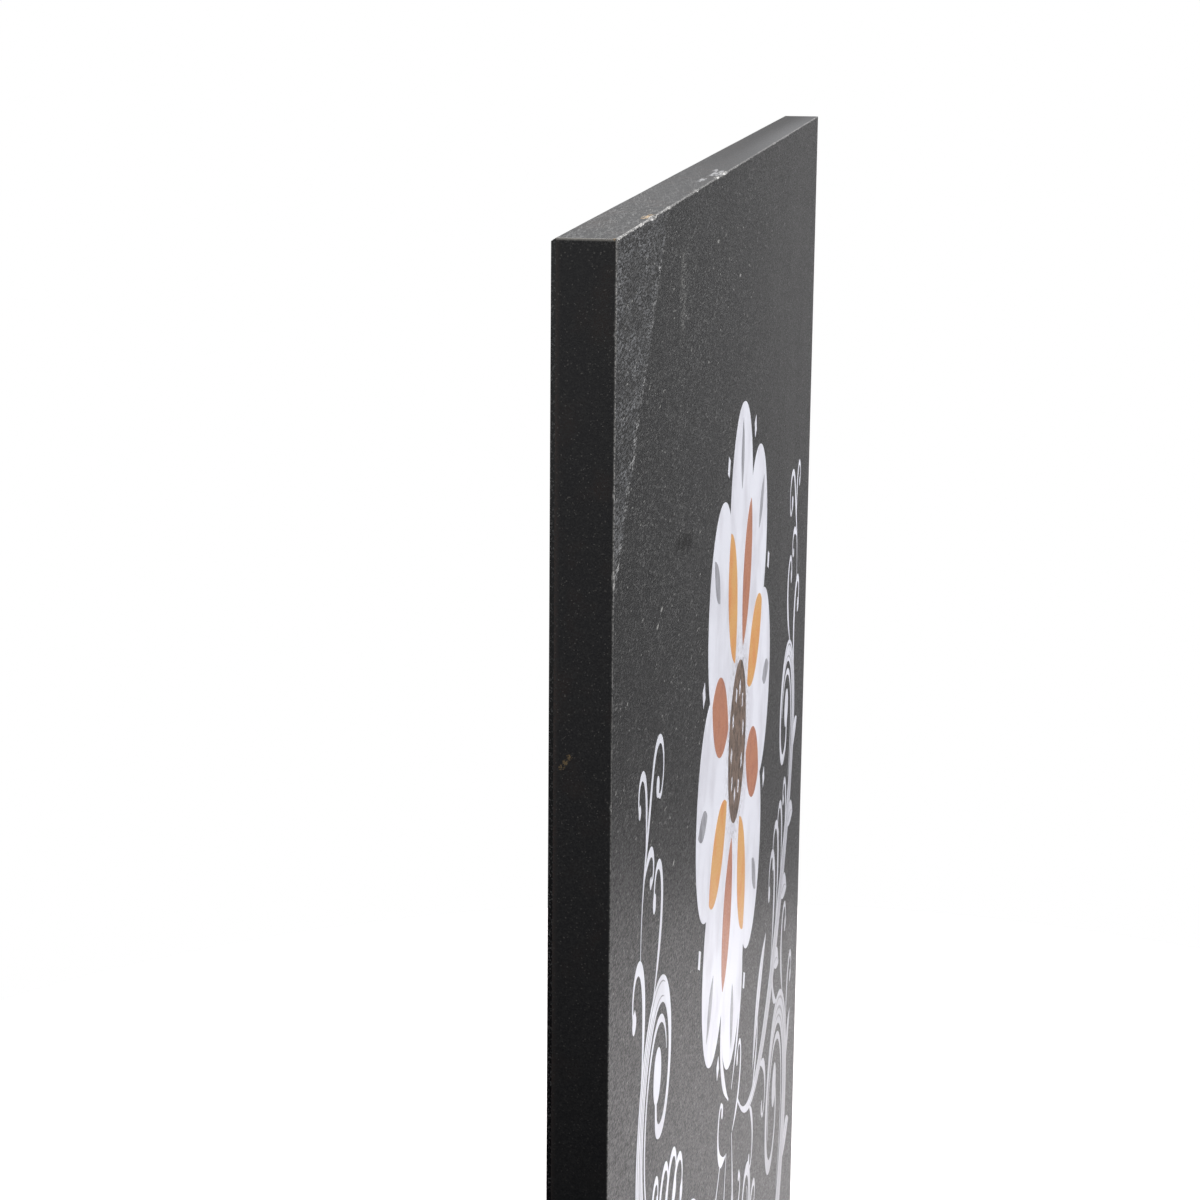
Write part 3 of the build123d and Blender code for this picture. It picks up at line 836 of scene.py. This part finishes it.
SCROLLS = {  # path, and widths at the root, where it is widest and at the eye
    "low": (scroll_path((4, 56), -14, (140, 136), 56, 9, 1.35, -62), (1.0, 17.0, 3.5)),
    "side": (scroll_path((22, 190), -38, (152, 266), 39, 6.5, 1.25, -52), (1.0, 13.0, 3.0)),
    "inner": (scroll_path((7, 186), -72, (50, 144), 25, 5.5, 1.1, -150), (0.8, 9.0, 2.5)),
    "tendril": (scroll_path((186, 305), 84, (160, 338), 12, 3, 0.9, 15), (0.6, 2.6, 1.1)),
}
for name, (path, widths) in SCROLLS.items():
    print(name, "scroll is", round(float(np.linalg.norm(np.diff(path, axis=0), axis=1).sum())), "mm long")

# %% [markdown]
# Ink stands on the stone with a rounded shoulder. A curve object with a bevel would be round below as well,
# so a ribbon has four points on every place of its path instead: two on the stone, and two nearer together
# on top. Where strokes cross, tops at one height would flicker, so each is a little thinner than the last.

# %% ribbons of ink
SHOULDER = 0.8  # width of the ink's top, as a share of its foot
FINEST = 0.12  # mm, no stroke is narrower
THINNED = 0.4  # share of the film that the last stroke is thinner by


def ribbon(path, width, below, above):
    """Four points on every place of a path, as a closed ring: right and left at the lower layer, and drawn
    in a little at the upper one, because ink rounds off. A quad closes each end."""
    half = np.maximum(width, FINEST)[:, None] / 2
    across = left_of(path) * half
    ring = [path - across, path - across * SHOULDER, path + across * SHOULDER, path + across]
    depth = np.array([below, above, above, below])[:, None] + np.zeros(len(path))
    corners = np.stack([[p[:, 0], FRONT - d, p[:, 1]] for p, d in zip(ring, depth)])
    points = corners.transpose(2, 0, 1).reshape(-1, 3) * MM
    last = 4 * (len(path) - 1)
    ends = [[0, 1, 2, 3], [last + 3, last + 2, last + 1, last]]
    return points, np.vstack([grid_faces(len(path), 4, wrap=True), ends])


def line_work(name, slot, strokes, below, above):
    """One piece from many strokes of the right half and their mirror images on the left, each a little
    thinner than the one before. Tetrahedra from the origin over its triangles add up to its volume, which
    would be negative if it were inside out."""
    points, faces, count = [], [], 0
    both = [(path * [side, 1], width) for path, width in strokes for side in (1, -1)]
    for (path, width), thinner in zip(both, np.linspace(0, THINNED, len(both))):
        band, quads = ribbon(path, width, below, above - thinner * (above - below))
        points.append(band)
        faces.append(quads + count)
        count += len(band)
    piece = make_piece(name, np.vstack(points), [(np.vstack(faces), inks[slot])])
    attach(piece, "root")
    a, b, c, d = (np.vstack(points)[np.vstack(faces)] / MM).transpose(1, 0, 2)
    volume = (a * (np.cross(b, c) + np.cross(c, d))).sum() / 6
    print(name, "holds", round(float(volume)), "cubic mm of ink")


print("a stroke is at least", FINEST, "mm wide, and its top is", SHOULDER, "of its foot")

# %% [markdown]
# A curl leaves a scroll at an angle and winds up faster and faster. It ends in a round ball of ink, where a
# pen rests before it is lifted. A spiral about a centre would need its centre found for each curl, so a curl
# is made of its headings instead: the running sum of small steps, each a little more turned.

# %% curls
CURL_POINTS = 70
SUNK = 1.0  # mm, a curl starts this far inside its scroll
ROOT_WIDTH, TIP_WIDTH = 0.8, 1.2  # mm
BALL = 0.6  # radius of the ball, as a share of the curl's greatest width


def curl_path(start, heading, length, turn):
    """A path whose heading turns faster and faster: by 0.15 of the turn times the share walked, and by 0.85
    of it times the share cubed. Its points are the running sum of its steps."""
    share = np.linspace(0, 1, CURL_POINTS)
    angle = np.radians(heading + turn * (0.15 * share + 0.85 * share**3))
    steps = np.stack([np.cos(angle), np.sin(angle)], axis=1) * length / (CURL_POINTS - 1)
    return np.array(start) + np.cumsum(steps, axis=0)


def with_ball(share, length, width, radius):
    """A stroke's width, widened to a round ball of ink at its tip: a circle's chord there."""
    back = (1 - share) * length - radius
    return np.maximum(width, 2 * np.sqrt(np.clip(radius**2 - back**2, 0, None)))


def on_edge(scroll, share, side, sunk):
    """The place on a scroll's edge at a share of its length, sunk into it, and the scroll's left there."""
    path, widths = SCROLLS[scroll]
    step = round(share * SCROLL_STEPS)
    left = left_of(path)[step]
    return path[step] + side * left * (float(swelling(np.array(share), *widths)) / 2 - sunk), left


def branch(scroll, share, side, length, splay, turn, greatest):
    """A curl from one side of a scroll: 1 is its left and -1 its right. It leaves at the splay angle."""
    start, left = on_edge(scroll, share, side, SUNK)
    heading = math.degrees(math.atan2(-left[0], left[1])) + side * splay
    return curl_path(start, heading, length, side * turn), length, greatest


BRANCHES = (  # scroll, share of its length, side, length, splay, turn, greatest width
    ("side", 0.68, -1, 52, 10, 300, 4.4),
    ("side", 0.74, -1, 50, 18, 290, 3.8),
    ("side", 0.12, -1, 40, 20, 270, 3.4),
    ("side", 0.22, -1, 46, 24, 290, 3.8),
    ("side", 0.15, 1, 27, 34, 130, 3.6),
    ("side", 0.33, 1, 66, 30, 280, 4.4),
    ("side", 0.39, 1, 60, 32, 285, 4.2),
    ("side", 0.45, 1, 46, 34, 290, 3.6),
    ("side", 0.51, 1, 30, 34, 290, 3.0),
    ("low", 0.60, -1, 44, 20, 290, 3.8),
    ("low", 0.655, -1, 54, 14, 290, 4.2),
    ("low", 0.71, -1, 44, 16, 290, 3.6),
    ("low", 0.188, 1, 40, 30, 260, 3.4),
    ("low", 0.267, 1, 50, 34, 270, 3.8),
    ("low", 0.350, 1, 46, 36, 290, 3.6),
    ("inner", 0.16, 1, 34, 26, 270, 3.0),
    ("inner", 0.12, -1, 38, 20, 270, 3.0),
    ("inner", 0.52, -1, 34, 20, 290, 3.0),
    ("inner", 0.66, -1, 30, 16, 290, 2.8),
    ("tendril", 0.30, -1, 34, 20, 290, 2.6),
    ("tendril", 0.22, 1, 26, 30, 290, 2.4),
)
SPRAY = (  # (start, heading, length, turn, greatest width) of those that hold the rosette and the palmette
    ((3, 200), 32, 66, 235, 4.6),
    ((8, 186), 8, 44, 280, 3.4),
    ((8, 74), 24, 52, -270, 3.4),
    ((6, 82), 62, 40, -260, 3.0),
)
curls = [branch(*row) for row in BRANCHES]
curls += [(curl_path(*row[:4]), row[2], row[4]) for row in SPRAY]
share = np.linspace(0, 1, CURL_POINTS)
strokes = []
for path, length, greatest in curls:
    width = swelling(share, ROOT_WIDTH, greatest, TIP_WIDTH, widest_at=0.32)
    strokes.append((path, with_ball(share, length, width, BALL * greatest)))
print(len(curls), "curls on each side,", sum(length for _, length, _ in curls), "mm of them")

# %% [markdown]
# A pen often runs a second, thin line beside a scroll's back. It keeps an even gap from the stroke, so it
# comes from the scroll's centre line, moved to the left by the stroke's own half width and the gap.


# %% white curls
def alongside(scroll, offset, gap, start, end, width):
    """A thin line beside a scroll's centre line: its distance is the offset times half the stroke's width,
    plus the gap. Both of its ends taper like an ellipse's."""
    path, widths = SCROLLS[scroll]
    share = np.linspace(0, 1, len(path))
    away = offset * swelling(share, *widths) / 2 + gap
    kept = (path + left_of(path) * away[:, None])[(share >= start) & (share <= end)]
    return kept, width * np.sqrt(1 - np.linspace(-0.98, 0.98, len(kept)) ** 2)


WHITE_FILM = 0.06  # mm, as on the frame's own films
CURL_FILM = WHITE_FILM - 0.01  # a little thinner, so that a curl slips under its scroll
strokes.append(alongside("side", 1, 3.5, 0.56, 0.86, 2.2))
strokes.append(alongside("low", 1, 4.0, 0.45, 0.86, 2.6))
strokes.append(alongside("inner", 1, 3.0, 0.40, 0.80, 1.8))
line_work("white_curls", "white_ink", strokes, 0.0, CURL_FILM)

# %% [markdown]
# Grey ink shades the white. Three pen lines run along each scroll but the tendril, and a vein runs up each
# lobe and each leaf but the upright one, which lies on the mirror line. They lie on the white film, so they
# start below its top and end above it.

# %% grey pen lines and veins
PEN_FILM = WHITE_FILM + 0.02
PALMETTE = (0, 70)  # (x, z) where its leaves meet
LOBE_ANGLE = 50  # degrees that a lobe leans back from its scroll
LOBES = {  # share of the scroll's length, and length of the lobe
    "low": ((0.17, 20), (0.25, 25), (0.33, 28), (0.41, 27), (0.49, 24), (0.57, 19)),
    "side": ((0.36, 18), (0.44, 21), (0.52, 20), (0.60, 16)),
}
PEN_LINES = (  # offset, share of the scroll's length at its start and at its end, width
    (0.55, 0.12, 0.80, 1.2),
    (0.05, 0.18, 0.74, 1.9),
    (-0.55, 0.12, 0.80, 1.2),
)


def vein(root, tip, bow):
    """The middle line of a bowed leaf: a parabola from 0.12 to 0.86 of its length, and its thinning width."""
    root, tip = np.array(root, float), np.array(tip, float)
    along = tip - root
    across = np.array([-along[1], along[0]]) / np.linalg.norm(along)
    control = root + 0.45 * along + 2 * bow * across
    t = np.linspace(0.12, 0.86, 20)[:, None]
    return (1 - t) ** 2 * root + 2 * t * (1 - t) * control + t**2 * tip, 0.9 * (1.05 - t[:, 0])


strokes = [vein((66, 181), (102, 212), 5.0)]
for heading, length in ((60, 42), (30, 38)):
    root, tip = (np.add(PALMETTE, reach * bearing(heading)) for reach in (8, 8 + length))
    strokes.append(vein(root, tip, 0))
for scroll, lobes in LOBES.items():
    for share, length in lobes:
        root, left = on_edge(scroll, share, -1, 1.5)
        tip = root + length * bearing(math.degrees(math.atan2(-left[0], left[1])) - LOBE_ANGLE)
        strokes.append(vein(root, tip, 0.12 * length))
for scroll in ("low", "side", "inner"):
    strokes += [alongside(scroll, offset, 0, start, end, width) for offset, start, end, width in PEN_LINES]
line_work("grey_pen_lines", "grey_ink", strokes, CURL_FILM, PEN_FILM)

# %% [markdown]
# ## Sizes
# Dressing mustn't change the part's size, so the box from straight after loading is compared with the box now.

# %% sizes
moved = max(abs(b - a) for before, after in zip(cad_box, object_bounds()) for a, b in zip(before, after))
print("dressing moved the box by", round(moved / MM, 3), "mm")
